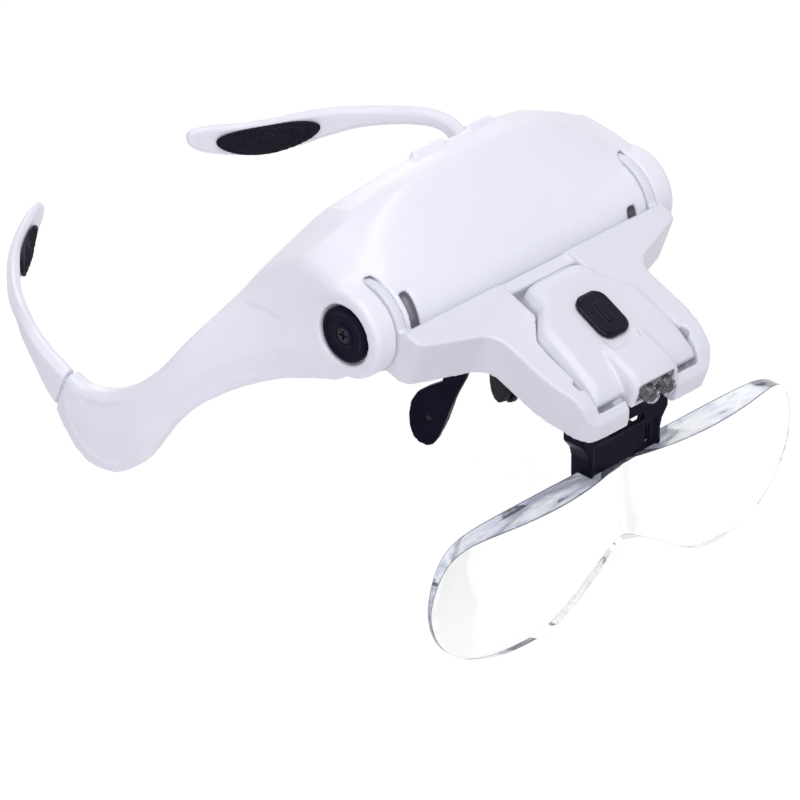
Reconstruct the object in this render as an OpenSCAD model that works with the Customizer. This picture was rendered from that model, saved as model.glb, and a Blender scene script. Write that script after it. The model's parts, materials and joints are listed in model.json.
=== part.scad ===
// Lighted head-worn magnifier with plug-in temple arms.
// Millimetres, as worn: the front looks along -Y and +Z is up. The origin is the point in the
// middle of the brow where the forehead rests. Shapes are drawn about the lens arm's pivot axis,
// which runs along X, and seat() moves them to that origin. The wearer's right side is at -X.

/* [Frame] */
// Distance from the middle to the outer face of a pivot housing
housing_x = 58; // [56:0.5:60]
// Length of a pivot housing along the axis
housing_len = 7.4; // [6.8:0.1:8]
// Radius of a pivot housing
housing_r = 13; // [12.5:0.1:13.2]
// Radius of the rounded nose below the visor face
nose_r = 13.3; // [13:0.1:13.6]
// Wall of the frame shell
wall = 2.2; // [1.8:0.1:2.6]
// Thickness of a side arm
arm_t = 5.2; // [4.8:0.1:6]
// Wall of the forehead cover and the battery door
cover_t = 1.6; // [1.4:0.1:2]
// Distance from the pivot axis back to the forehead
brow_y = 14.8; // [14.4:0.1:16]
// Height of the brow point over the pivot axis
brow_z = 12; // [8:0.5:16]

/* [Lens arm] */
// Slope of the lens arm below the horizontal
tilt = 21; // [18:0.5:24]
// Thickness of an ear of the lens arm
ear_t = 3; // [2.6:0.1:3.2]
// Radius of an ear
ear_r = 13.5; // [12.8:0.1:13.6]
// Radius of the hub that turns in the housing
hub_r = 4.9; // [4.5:0.1:5.5]
// Half width of the lens arm at its waist
waist = 28; // [27:0.5:30]
// Half width of the notch between the front blocks
notch = 9.2; // [8.8:0.1:9.6]
// Radius of a pivot cap
cap_r = 8.1; // [7.6:0.1:8.6]

/* [Lamp] */
// Half width of the lamp
lamp_w = 20; // [19:0.25:21]
// Distance from the pivot axis to the lamp's hinge
lamp_hinge_u = 51.5; // [50.5:0.25:52.5]
// Radius of a lamp hinge pin
pin_r = 1.25; // [1:0.05:1.5]
// Diameter of a light emitting diode
led_d = 5; // [4:0.1:5.2]
// Distance between the two diodes
led_pitch = 6.6; // [6:0.1:7]
// Length of the switch slider
slider_l = 15; // [13:0.5:16]
// Width of the switch slider
slider_w = 10.5; // [9.5:0.25:11]
// Travel of the switch slider
slider_travel = 3; // [2:0.25:3.5]

/* [Lens] */
// Half width of the lens
lens_half = 71; // [68:0.5:74]
// Height of the lens at its lobes
lens_h = 41; // [38:0.5:44]
// Height of the lens at the nose
bridge_h = 25.2; // [23:0.2:28]
// Distance between the two optical centres
lens_centres = 62; // [58:1:66]
// Thickness of the lens at an optical centre
lens_t = 10.4; // [9:0.1:11.5]
// Radius of the lens's convex front
lens_r = 95; // [90:1:110]
// Width of the lens clip
clip_w = 27.5; // [25:0.5:29]

/* [Temple arms] */
// Length of the plug that goes into the side arm
plug_l = 9; // [8:0.5:10]
// Height of the plug
plug_h = 7.6; // [7:0.1:8.4]
// Thickness of the plug
plug_t = 2.8; // [2.4:0.1:3]
// Length of a temple pad
pad_l = 29; // [26:0.5:31]
// Height of a temple pad
pad_h = 9.4; // [8.5:0.1:10]

/* [Battery] */
// Diameter of a cell
cell_d = 10.5; // [10:0.1:10.6]
// Length of a cell
cell_l = 44.5; // [43:0.5:45]
// Half width of the battery door
door_half = 26; // [24:0.5:27]
// Height of the battery door
door_h = 31; // [28:0.5:32]

/* [Hidden] */

white = [0.93, 0.93, 0.96];
black = [0.09, 0.09, 0.11];

// Running fit, sliding gap between parts that move, and gap between parts that only sit together
fit = 0.08;
gap = 0.35;
seat_gap = 0.15;

slot_out = housing_x - housing_len;
ear_out = slot_out - gap;
ear_in = ear_out - ear_t;
nose_half = ear_in - gap;
bore_r = hub_r + fit;
recess_r = cap_r + 0.7;
recess_d = 2;
cap_t = 1.9;
hub_end = housing_x - recess_d + gap;
slot_r = ear_r + 0.45;

function circle_point(r, a) = [r * cos(a), r * sin(a)];
function lerp(a, b, t) = a + (b - a) * t;
function unit(v) = v / norm(v);

// A smooth curve through the members of a list, which may be points or lists of points
function curve_at(a, b, c, d, t) =
    0.5 * (2 * b + (c - a) * t + (2 * a - 5 * b + 4 * c - d) * t * t
    + (3 * b - a - 3 * c + d) * t * t * t);
function smooth(list, steps) = let (last = len(list) - 1) [
    for (i = [0 : last - 1], s = [0 : steps - 1])
        curve_at(list[max(i - 1, 0)], list[i], list[i + 1], list[min(i + 2, last)], s / steps),
    list[last]];

module seat() {
    translate([0, -brow_y, -brow_z])
        children();
}

module both_sides() {
    children();
    mirror([1, 0, 0])
        children();
}

// A cylinder along X between two places
module rod(r, x0, x1, y = 0, z = 0, fn = 48) {
    translate([x0, y, z])
        rotate([0, 90, 0])
            cylinder(r = r, h = x1 - x0, $fn = fn);
}

module box(low, high) {
    translate(low)
        cube(high - low);
}

// A solid through rings of the same number of points, closed at both ends by strips
module loft(rings) {
    n = len(rings[0]);
    last = len(rings) - 1;
    points = [for (ring = rings) each ring];
    sides = [for (i = [0 : last - 1], j = [0 : n - 1]) let (k = (j + 1) % n)
        each [[i * n + j, (i + 1) * n + j, (i + 1) * n + k], [i * n + j, (i + 1) * n + k, i * n + k]]];
    low_end = [for (j = [0 : n / 2 - 2])
        each [[j, j + 1, n - 2 - j], [j, n - 2 - j, n - 1 - j]]];
    high_end = [for (face = low_end) [for (k = [2 : -1 : 0]) face[k] + last * n]];
    polyhedron(points, concat(sides, low_end, high_end));
}

// The frame shell's wall is a loft. A station holds the rim, the crease, the lower point, the
// bottom point, the way inwards and the rise of the band between rim and crease.
function front_station(share, rim, crease, angle, rise) = let (x = share * slot_out)
    [[x, rim[0], rim[1]], [x, crease[0], crease[1]],
    concat([x], circle_point(nose_r - 0.06, angle)), concat([x], circle_point(nose_r - 0.6, angle + 14)),
    [0, 0.7, -1] * wall, [0, 0, rise]];
front_stations = [
    front_station(0, [15, 32.7], [7.4, 31.2], 140, 0),
    front_station(0.3, [16.4, 31.4], [8.2, 31], 139, 0.2),
    front_station(0.55, [19.8, 27.6], [8.2, 29], 135, 0.8),
    front_station(0.78, [25, 21.8], [6.2, 23.2], 122, 2.4),
    front_station(0.92, [29, 15.2], [3.6, 17.6], 108, 4.8)];

// Top, shoulder, middle and bottom of the side arm as x past the housing face, y and z
function arm_station(top, shoulder, middle, bottom, t, rise = 0, drop = 0) = let (out = [housing_x, 0, 0])
    [out + top, out + shoulder, out + middle, out + bottom, [-t, 0, -drop], [0, 0, rise]];
arm_stations = [
    arm_station([-4.6, 32.2, 9.2], [-2.1, 5.8, 14.4], [-0.5, -3, 9.5], [-0.5, -8, 2], wall, 4.6, 1.6),
    arm_station([-1.8, 34.2, 5.6], [0, 13, 9], [0.3, 3, -4], [-0.2, 0, -13], 3, 3.8),
    arm_station([0.5, 36, 2.3], [1.3, 22, 4.8], [2, 13, -8], [0.5, 10, -17.2], 4, 1.2),
    arm_station([3, 38, -1.1], [3.6, 30, -0.8], [4.5, 23, -11], [3, 21, -20.6], 4.6, 0.4),
    arm_station([7, 40.6, -5.4], [7.6, 37, -7.4], [8.3, 32, -17], [6.5, 31, -25.3], arm_t),
    arm_station([11, 44, -10.6], [11.6, 43, -13], [12, 40, -22], [10.5, 39, -30.4], arm_t),
    arm_station([14.5, 48, -16.4], [15.2, 47.5, -19.2], [15.5, 46.5, -28], [14, 46, -36.2], arm_t),
    arm_station([17.5, 54, -25], [18.2, 53.5, -28], [18.5, 53, -36], [17, 51.5, -43.2], arm_t),
    arm_station([20, 61.5, -31.8], [20.8, 61, -34.5], [21.5, 59.5, -44], [20.3, 57.5, -53.6], arm_t),
    arm_station([22, 68.5, -35.6], [23, 68.3, -38], [23.5, 67.5, -49], [22.5, 65.5, -59.8], arm_t),
    arm_station([24, 74.5, -36.4], [24.9, 74.5, -38.8], [25.3, 74.5, -48], [24.3, 74, -60], arm_t),
    arm_station([25.3, 77.8, -35.4], [26.1, 78.3, -37.8], [26.4, 79.5, -45.5], [25.3, 80.5, -55.5],
        arm_t),
    arm_station([26, 80.6, -33.4], [26.7, 81.6, -35.4], [26.9, 84, -40.5], [26, 86.2, -46.5], arm_t)];

half_stations = concat(front_stations, arm_stations);
function flipped(station) = [for (p = station) [-p[0], p[1], p[2]]];
shell_stations = concat([for (i = [len(half_stations) - 1 : -1 : 1]) flipped(half_stations[i])],
    half_stations);

// The wall's outer line runs from the rim over the rounded crease to the bottom, and thins out
// towards both edges, less so at the bottom of the side arms
edge_thin = [0.6, 1, 1, 1, 1, 1, 0.8, 0.45];
arm_thin = [0.6, 1, 1, 1, 1, 1, 1, 0.8];
function wall_ring(s) = let (
    side = abs(s[4][0]) / norm(s[4]),
    a = lerp(s[1], s[0], 0.45) + s[5], b = lerp(s[1], s[2], 0.3),
    outer = [s[0], a, lerp(a, s[1], 0.74), lerp(lerp(a, s[1], 0.9), lerp(s[1], b, 0.3), 0.5),
        lerp(s[1], b, 0.62), lerp(b, s[2], 0.5), s[2], s[3]])
    concat(outer, [for (i = [7 : -1 : 0]) outer[i] + s[4] * lerp(edge_thin[i], arm_thin[i], side)]);

// Mouth of the socket for a temple arm, and the way that the arm pulls out
socket_rise = 25;
socket_out = 8;
socket_at = [housing_x + 26.6 - arm_t / 2, 83.4, -39.8];
socket_wall_gap = 0.2;

module at_socket() {
    translate(socket_at)
        rotate([socket_rise, 0, 0])
            rotate([0, 0, -socket_out])
                children();
}

cover_y = brow_y - cover_t;
floor_y = cover_y - seat_gap;
door_z0 = -nose_r + 3.9;
door_z1 = door_z0 + door_h;
boss_r = 3;
boss_z = -6.5;
boss_x = 37;
nose_mid = 30;

// The nose's wall, which ends under the visor face at a place along Y
module nose_profile(end) {
    difference() {
        union() {
            circle(r = nose_r, $fn = 96);
            translate([0, -nose_r])
                square([floor_y, wall]);
        }
        circle(r = nose_r - wall, $fn = 96);
        translate([0, -nose_r + wall])
            square(3 * nose_r);
        translate([end, 3])
            square(3 * nose_r);
    }
}

module end_profile() {
    circle(r = nose_r - wall / 2, $fn = 96);
    translate([0, -nose_r])
        square([cover_back(nose_half - 1.5) - cover_t - seat_gap, 2 * nose_r - wall / 2]);
}

// Turns a drawing in the Y and Z directions into a bar along X
module bar_x(x0, x1) {
    translate([x0, 0, 0])
        rotate([90, 0, 90])
            linear_extrude(x1 - x0)
                children();
}

module housing_barrel() {
    edge = 1.6;
    translate([slot_out, 0, 0])
        rotate([0, 90, 0])
            rotate_extrude($fn = 64)
                polygon(concat([[0, 0], [housing_r, 0]],
                    [for (a = [0 : 15 : 90]) [housing_r - edge + edge * cos(a),
                    housing_len - edge + edge * sin(a)]], [[0, housing_len]]));
}

module frame_shell() {
    color(white) seat() {
        difference() {
            union() {
                loft([for (s = smooth(shell_stations, 3)) wall_ring(s)]);
                bar_x(-nose_mid, nose_mid) nose_profile(-9.6);
                rim_tabs();
                nose_sector(groove_in - nose_half - 1, groove_w + 2, groove_floor, nose_r - wall / 2, 118, 203);
                nose_sector(nose_half - groove_far - groove_w - 1, groove_w + 2, groove_floor, nose_r - wall / 2,
                    150, 203);
                both_sides() {
                    bar_x(nose_mid - 0.1, nose_half) nose_profile(0);
                    bar_x(nose_half - 1.5, nose_half) end_profile();
                    housing_barrel();
                    translate([boss_x, nose_r * 0.1, boss_z])
                        rotate([-90, 0, 0])
                            cylinder(r = boss_r, h = floor_y - nose_r * 0.1, $fn = 32);
                    box([boss_x - 1.2, 2, wall / 2 - nose_r], [boss_x + 1.2, floor_y, boss_z - 2]);
                }
            }
            both_sides() {
                rod(slot_r, nose_half, slot_out, fn = 96);
                rod(bore_r, slot_out - 1, housing_x, fn = 64);
                rod(recess_r, housing_x - recess_d, housing_x + 8, fn = 64);
                at_socket()
                    box([-plug_t / 2 - socket_wall_gap, -plug_l - 0.5, -plug_h / 2 - socket_wall_gap],
                        [plug_t / 2 + socket_wall_gap, 8, plug_h / 2 + socket_wall_gap]);
                translate([boss_x, floor_y - 8, boss_z])
                    rotate([-90, 0, 0])
                        cylinder(r = 1.05, h = 9, $fn = 24);
            }
            nose_sector(groove_in - nose_half, groove_w, nose_r - groove_depth, nose_r + 1, 126, 195);
            nose_sector(nose_half - groove_far - groove_w, groove_w, nose_r - groove_depth, nose_r + 1, 158, 195);
        }
    }
}

// Two low tabs on the rear rim, where the visor is pressed off the cover
module rim_tabs() {
    tab_l = 11;
    both_sides()
        translate([10, 15.6, 32])
            rotate([0, 5.7, 6.2])
                cube([tab_l, 2, 2.2], center = true);
}

// Two grooves in the nose, the longer one on the right, their distances from its ends, and the
// wall under them, which is thicker on the inside
groove_w = 3.4;
groove_in = 1.8;
groove_far = 4.2;
groove_depth = 2.8;
groove_floor = nose_r - groove_depth - 1.2;

// A part of a ring round the nose between two radii and two angles, from a place along X
module nose_sector(x, width, r0, r1, a0, a1) {
    translate([x, 0, 0])
        rotate([0, 90, 0])
            rotate([0, 0, a0 + 90])
                rotate_extrude(angle = a1 - a0, $fn = 96)
                    translate([r0, 0])
                        square([r1 - r0, width]);
}

// Forehead cover: a wall behind the nose and the visor face, flat in the middle for the door
function cover_back(x) = brow_y + pow(max(abs(x) - door_half - 3, 0), 2) / 60;
// Underside of the shell's top band over the cover, between crease and rim
function band_z(s, y) = lerp(s[1][2], s[0][2],
    min(max((y - s[1][1]) / (s[0][1] - s[1][1]), 0), 1)) - wall - 0.6;
cover_stations = [for (s = smooth(front_stations, 2)) s];
function cover_ring(s) = let (
    x = min(s[0][0], nose_half - 0.4), back = cover_back(x), front = back - cover_t,
    top = band_z(s, back) - 0.4, low = -nose_r)
    [[x, front, top], [x, front, lerp(top, low, 0.5)], [x, front, low],
    [x, back, low], [x, back, lerp(top, low, 0.5)], [x, back, top]];
cover_rings = concat(
    [for (i = [len(cover_stations) - 1 : -1 : 1]) [for (p = cover_ring(cover_stations[i]))
        [-p[0], p[1], p[2]]]],
    [for (s = cover_stations) cover_ring(s)]);

door_gap = 0.35;
door_pin_r = 0.6;
knuckle_r = 1.2;
hinge_y = brow_y - knuckle_r;
hinge_z = door_z0 + knuckle_r;
lug_x = door_half - 6.5;
lug_w = 3;

module forehead_cover() {
    color(white) seat() difference() {
        union() {
            difference() {
                loft(cover_rings);
                box([-door_half - door_gap, cover_y - 1, door_z0 - door_gap],
                    [door_half + door_gap, brow_y + 1, door_z1 + door_gap]);
            }
            both_sides() {
                rod(knuckle_r, lug_x, lug_x + lug_w, hinge_y, hinge_z, 32);
                box([lug_x, cover_y + 0.2, door_z0 - 2], [lug_x + lug_w, brow_y - 0.1, hinge_z]);
            }
        }
        both_sides() {
            rod(door_pin_r + fit, lug_x - 1, lug_x + lug_w + 1, hinge_y, hinge_z, 32);
            translate([boss_x, cover_y - 1, boss_z])
                rotate([-90, 0, 0])
                    cylinder(r = 1.35, h = 12, $fn = 24);
            translate([boss_x, cover_back(boss_x) - 0.8, boss_z])
                rotate([-90, 0, 0])
                    cylinder(r = 2.6, h = 4, $fn = 24);
        }
    }
}

module battery_door() {
    color(white) seat() difference() {
        union() {
            box([-door_half, cover_y, hinge_z], [door_half, brow_y, door_z1]);
            rod(knuckle_r, -door_half, door_half, hinge_y, hinge_z, 32);
        }
        both_sides() {
            rod(door_pin_r + fit, lug_x - 5, door_half - 0.8, hinge_y, hinge_z, 32);
            box([lug_x - gap, hinge_y - 3, door_z0 - 1],
                [lug_x + lug_w + gap, brow_y + 1, hinge_z + knuckle_r + gap]);
        }
        for (i = [-2 : 2])
            box([-7, brow_y - 0.5, door_z1 - 6 + i * 1.6], [7, brow_y + 1, door_z1 - 5.3 + i * 1.6]);
    }
}

module door_hinge_pin() {
    color("silver") seat() both_sides()
        rod(door_pin_r, lug_x - 4.8, door_half - 1, hinge_y, hinge_z, 32);
}

// Three cells lie side by side: two in the nose and one behind the visor face
cell_r = cell_d / 2;
cell_at = [[-4.7, 0.4], [6.2, -2.4], [5.2, 12.2]];
tray_wall = 0.6;
tray_end = 1.4;
spring_l = 3;
tray_half = cell_l / 2 + spring_l + tray_end;

module battery_tray() {
    color([0.2, 0.2, 0.22]) seat() difference() {
        bar_x(-tray_half, tray_half) tray_profile();
        for (p = cell_at)
            rod(cell_r + 0.12, -tray_half + tray_end, tray_half - tray_end, p[0], p[1]);
        box([-tray_half + tray_end, cell_at[1][0], cell_at[1][1] - cell_r],
            [tray_half - tray_end, cover_y + 3, cell_at[2][1] + cell_r]);
    }
}

module tray_profile() {
    for (p = cell_at)
        translate(p)
            circle(r = cell_r + tray_wall, $fn = 64);
    polygon(cell_at);
}

module battery_cells() {
    color("darkgoldenrod") seat() for (i = [0 : 2]) mirror([i == 1 ? 1 : 0, 0, 0]) {
        rod(cell_r, -cell_l / 2 + 0.5, cell_l / 2 - 0.5, cell_at[i][0], cell_at[i][1]);
        rod(1.9, cell_l / 2 - 0.5, cell_l / 2 + 0.5, cell_at[i][0], cell_at[i][1]);
    }
}

module battery_contacts() {
    end = tray_half - tray_end - 0.05;
    color("silver") seat() both_sides() for (p = cell_at) {
        rod(3.2, end - 0.4, end, p[0], p[1], 32);
        rod(1.6, cell_l / 2 + 0.6, end - 0.4, p[0], p[1], 32);
    }
}

module cover_screws() {
    color("silver") seat() both_sides() translate([boss_x, 0, boss_z]) rotate([-90, 0, 0]) {
        translate([0, 0, cover_back(boss_x) - 0.8])
            cylinder(r = 2.3, h = 0.7, $fn = 24);
        translate([0, 0, floor_y - 7])
            cylinder(r = 1, h = cover_back(boss_x) - 0.5 - floor_y + 7, $fn = 24);
    }
}

// Nose bracket: a plate under the nose, with a leaf down to each pad's pin. The leaves splay
// outwards to the rear, and are drawn from the pin, rearwards and up.
leaf_x = 17;
leaf_t = 2;
splay = 15;
pad_t = 2.6;
pad_pin_y = 8.9;
pad_pin_z = -46.2;
pad_pin_r = 0.9;
leaf_top = -nose_r - seat_gap - pad_pin_z;
leaf_outline = [[-3, leaf_top], [-5, 17], [-4.4, 12.6], [0.4, 9.6], [3.5, 7.2], [5.4, 4], [6.1, 0], [6, -3.6],
    [4.8, -7], [2.9, -8.5], [0.4, -8.9], [-1.4, -8], [-3, -5.6], [-4.5, -2], [-6.4, 3.4], [-8.9, 9.6],
    [-11.7, 15.4], [-13, 20], [-13, leaf_top]];
pad_outline = [[0.2, 8.2], [3, 6.2], [4.7, 3.2], [5.3, 0], [5.2, -3.4], [4.2, -6.4], [2.6, -7.8], [0.4, -8.1],
    [-1.1, -7.2], [-2.5, -5], [-3.9, -1.8], [-5.5, 2.8], [-6.6, 6.2], [-4.6, 8.6]];

// A plate with rounded corners on the outline, from one depth behind the leaf's face to another
module leaf_plate(d0, d1) {
    translate([leaf_x, pad_pin_y, pad_pin_z])
        rotate([0, 0, -splay])
            bar_x(-d1, -d0)
                offset(r = 1, $fn = 32)
                    offset(delta = -1)
                        children();
}

// A rod square to a leaf at its pin
module leaf_rod(r, d0, d1) {
    translate([leaf_x, pad_pin_y, pad_pin_z])
        rotate([0, 0, -splay])
            rod(r, -d1, -d0, fn = 32);
}

module nose_bracket() {
    color(black) seat() difference() {
        union() {
            box([-leaf_x - 0.4, -5, -nose_r - 2.6], [leaf_x + 0.4, 9.5, -nose_r - seat_gap]);
            both_sides()
                leaf_plate(0, leaf_t) polygon(leaf_outline);
        }
        both_sides()
            leaf_rod(pad_pin_r + fit, -1, leaf_t + 1);
    }
}

// A pad lies inside its leaf and turns about a pin through both
module nose_pad(side) {
    color(black) seat() scale([side, 1, 1]) difference() {
        leaf_plate(leaf_t + gap, leaf_t + gap + pad_t) polygon(pad_outline);
        leaf_rod(pad_pin_r + fit, leaf_t, leaf_t + 6);
    }
}

module nose_pad_right() nose_pad(-1);
module nose_pad_left() nose_pad(1);

module nose_pad_pins() {
    color("silver") seat() both_sides()
        leaf_rod(pad_pin_r, 0.2, leaf_t + gap + pad_t - 0.2);
}

// Lens arm, drawn with X across, -Y forwards along its slope and Z square to it
module on_arm() {
    rotate([tilt, 0, 0])
        children();
}

arm_top = 8.8;
lip_top = 6.6;
arm_low = -4;
wing_low = -7.2;
front_u = 63.5;
front_corner = 8;
nose_clear = nose_r + 0.6;
floor_w = 0.4;
shoulder_x = 12.7;
lamp_hinge_w = 3.2;
window_w = 3.9;
block_w = 4.8;

function arc(cx, cy, r, a0, a1, n) = [for (i = [0 : n]) let (a = lerp(a0, a1, i / n))
    [cx + r * cos(a), cy + r * sin(a)]];

// Half outline of the arm seen from above, from the ear round to the front
arm_plan_half = concat(
    [[ear_out, 4], [ear_out, -13]],
    arc(ear_out - 4, -16, 4, 0, -60, 4),
    arc(waist + 7, -31, 7, 120, 180, 4),
    [[waist, -44], [waist - 0.9, -50]],
    arc(waist - 2.6 - front_corner, -front_u + front_corner, front_corner, 0, -90, 8),
    [[notch, -front_u]]);

module arm_plan() {
    polygon(concat(arm_plan_half,
        [for (i = [len(arm_plan_half) - 1 : -1 : 0]) [-arm_plan_half[i][0], arm_plan_half[i][1]]]));
}

// Side view of the arm: along its slope, then square to it
module arm_side() {
    polygon(concat([[4, wing_low - 1], [4, lip_top], [-11.2, lip_top], [-13, arm_top]],
        arc(-front_u + 10.5, arm_top - 8.5, 8.5, 90, 150, 4),
        [[-front_u + 1, 3], [-front_u, -1.8], [-front_u + 1.4, arm_low + 0.4], [-front_u + 8, arm_low],
        [-30, arm_low], [-23, wing_low + 1.2], [-15, wing_low]]));
}

// The lamp's distance from the pivot, half width and height over the arm's middle plane
lamp_stations = [[17.6, -13, 8.5], [18.6, -10.6, 10.8], [20.4, -9, 12.2], [23.4, -8, 13],
    [26.3, -7.7, 13.2], [31, -3.3, 12.8], [34, -1, 12.4], [38.5, -0.4, 12.1], [46, -0.1, 11.2],
    [51.5, 0, 9.9], [54.5, -0.1, 9], [56.8, -0.3, 7.6], [58.2, -0.7, 6]];
function lamp_half(s) = lamp_w + s[1];

module lamp_plan(grow) {
    last = len(lamp_stations) - 1;
    front = lamp_half(lamp_stations[last]) + grow;
    half = concat([for (s = lamp_stations) [lamp_half(s) + grow, -s[0]]], [[front, -70]]);
    polygon(concat([[lamp_half(lamp_stations[0]), -lamp_stations[0][0] + grow]], half,
        [for (i = [len(half) - 1 : -1 : 0]) [-half[i][0], half[i][1]]],
        [[-lamp_half(lamp_stations[0]), -lamp_stations[0][0] + grow]]));
}

// Slit for the lens clip's tongue
tongue_half = 8;
tongue_t = 3;
tongue_y = -47.6;
tongue_top = -18.8;
hood_low_u = 56;

module lens_arm() {
    color(white) seat() {
        difference() {
            union() {
                on_arm() intersection() {
                    translate([0, 0, -20])
                        linear_extrude(40)
                            arm_plan();
                    bar_x(-ear_out, ear_out) arm_side();
                }
                both_sides()
                    rod(ear_r, ear_in, ear_out, fn = 96);
                both_sides()
                    rod(hub_r, ear_out - 0.5, hub_end, fn = 64);
            }
            rod(nose_clear, -ear_in, ear_in, fn = 96);
            on_arm() {
                box([-ear_in, -0.1, -30], [ear_in, 30, 30]);
                difference() {
                    translate([0, 0, floor_w])
                        linear_extrude(20)
                            lamp_plan(gap);
                    both_sides()
                        box([notch, -front_u - 1, -10], [lamp_w + 9, -front_u + 3.6, block_w]);
                }
                box([-shoulder_x, -30, arm_low - 8], [shoulder_x, -16.2, 20]);
                box([-shoulder_x, -16.3, 7.2], [shoulder_x, -8, 20]);
                box([-notch, -front_u - 1, -8], [notch, -hood_low_u, 20]);
                both_sides()
                    box([lamp_w - 1, -lamp_hinge_u - 1.8, window_w],
                        [lamp_w + 1.8, -lamp_hinge_u + 1.8, 20]);
                rod(pin_r + fit, -lamp_w - 3.2, lamp_w + 3.2, -lamp_hinge_u, lamp_hinge_w, 32);
            }
            box([-tongue_half - seat_gap, tongue_y - tongue_t / 2 - seat_gap, -40],
                [tongue_half + seat_gap, tongue_y + tongue_t / 2 + seat_gap, 0]);
            both_sides()
                rod(screw_r + 0.05, hub_end - 8, hub_end + 1, fn = 24);
        }
    }
}

screw_r = 1.2;

module pivot_cap(side) {
    color(black) seat() scale([side, 1, 1]) difference() {
        translate([hub_end, 0, 0])
            rotate([0, 90, 0])
                rotate_extrude($fn = 64)
                    polygon([[0, 0], [cap_r, 0], [cap_r, cap_t - 0.5], [cap_r - 0.5, cap_t],
                        [cap_r - 1.6, cap_t], [cap_r - 2, cap_t - 0.4], [3.6, cap_t - 0.4],
                        [3.2, cap_t], [0, cap_t]]);
        rod(screw_r + 0.1, hub_end - 1, hub_end + 5, fn = 24);
        rod(2.45, hub_end + cap_t - 1, hub_end + 5, fn = 24);
    }
}

module pivot_cap_right() pivot_cap(-1);
module pivot_cap_left() pivot_cap(1);

module pivot_screws() {
    head = hub_end + cap_t - 0.9;
    color("silver") seat() both_sides() {
        rod(screw_r, hub_end - 7.8, head, fn = 24);
        difference() {
            rod(2.3, head, head + 0.8, fn = 24);
            for (a = [0, 90])
                rotate([a, 0, 0])
                    box([head + 0.3, -0.3, -1.5], [head + 2, 0.3, 1.5]);
        }
    }
}

// Ring across the lamp: bottom corner, rounded shoulder and top on one side, then the other
function lamp_ring(u, w, low, top, r) = let (h = min(r, (top - low) * 0.45),
    side = [[w, low], [w, top - h], [w - 0.3 * h, top - 0.3 * h], [w - h, top], [w * 0.4, top + 0.1]])
    concat([for (p = side) [-p[0], -u, p[1]]], [for (i = [4 : -1 : 0]) [side[i][0], -u, side[i][1]]]);
lamp_low = floor_w + gap;
ramp_u = 52;
function lamp_low_at(u) = lamp_low + max(0, u - ramp_u) * 0.6;
lamp_curve = smooth(lamp_stations, 3);
lamp_wall = 1.5;
lamp_roof = 2.2;

// Rings go from the front to the rear
lamp_rings = [for (i = [len(lamp_curve) - 1 : -1 : 0]) let (s = lamp_curve[i])
    lamp_ring(s[0], lamp_half(s), lamp_low_at(s[0]), s[2], 3.2)];
inner_rings = [for (i = [len(lamp_curve) - 1 : -1 : 0]) let (s = lamp_curve[i])
    if (s[0] > 18 && s[0] < 56.9)
        lamp_ring(s[0], lamp_half(s) - lamp_wall, s[0] > ramp_u ? lamp_low_at(s[0]) + 1.4 : -1,
            max(s[2] - lamp_roof, lamp_low_at(s[0]) + 1.6), 2)];

// The hood over the diodes: distance, half width, underside and top
window_u = 60.4;
hood = [[window_u + 1.5, 8.5, 2.8, 8.6], [window_u + 0.7, 8.7, 2.8, 10.2], [window_u - 1.6, 8.8, 2.8, 11.6],
    [57.2, 8.8, 4.2, 11.9], [52, 8.8, 5, 12.2], [47.5, 8.6, 6, 12.2], [44.5, 8.2, 7, 11.5]];
led_w = 6.5;
led_out = 2.5;
window_half = 6.9;
window_low = led_w - 3;
window_top = led_w + 3;
window_rear = window_u - 1.9;

slope = 6;
module on_lamp_top() {
    on_arm() translate([0, -37.8, 12.15])
        rotate([slope, 0, 0])
            children();
}

module rounded(x, y, r) {
    for (side = [-1, 1]) {
        square([x - 2 * r, y], center = true);
        square([x, y - 2 * r], center = true);
        for (end = [-1, 1])
            translate([side * (x / 2 - r), end * (y / 2 - r)])
                circle(r = r, $fn = 32);
    }
}

lamp_boss = [14, -41];

module lamp_cover() {
    color(white) seat() difference() {
        union() {
            on_arm() {
                difference() {
                    union() {
                        loft(lamp_rings);
                        loft([for (h = hood) lamp_ring(h[0], h[1], h[2], h[3], 2.4)]);
                    }
                    loft(inner_rings);
                    box([-window_half, -70, window_low], [window_half, -window_rear, window_top]);
                    box([-window_half, -window_rear - 0.1, led_w - 1.6], [window_half, -46, window_top]);
                }
                both_sides() {
                    rod(2.35, lamp_w - 4, lamp_w - 1, -lamp_hinge_u, lamp_hinge_w, 32);
                    translate([lamp_boss[0], lamp_boss[1], lamp_low + 1.3])
                        cylinder(r = 2.4, h = 8.2, $fn = 32);
                }
            }
        }
        on_arm() both_sides() {
            rod(pin_r + 0.05, lamp_w - 5, lamp_w + 2, -lamp_hinge_u, lamp_hinge_w, 32);
            translate([lamp_boss[0], lamp_boss[1], 0])
                cylinder(r = 1, h = 8, $fn = 24);
        }
        on_lamp_top() {
            box([-slider_w / 2 - gap, -slider_l / 2 - slider_travel - gap, 0],
                [slider_w / 2 + gap, slider_l / 2 + gap, 6]);
            box([-1.6, -1.5 - slider_travel - gap, -6], [1.6, 1.5 + gap, 6]);
        }
    }
}

module lamp_base() {
    base = [for (s = lamp_curve) if (s[0] > 19.6 && s[0] < 48.8)
        [lamp_half(s) - lamp_wall - seat_gap, -s[0]]];
    color(white) seat() on_arm() difference() {
        translate([0, 0, lamp_low])
            linear_extrude(1.2)
                polygon(concat(base, [for (i = [len(base) - 1 : -1 : 0]) [-base[i][0], base[i][1]]]));
        both_sides() translate([lamp_boss[0], lamp_boss[1], 0]) {
            cylinder(r = 1.05, h = 8, $fn = 24);
            cylinder(r = 2.1, h = lamp_low + 0.6, $fn = 24);
        }
    }
}

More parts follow.
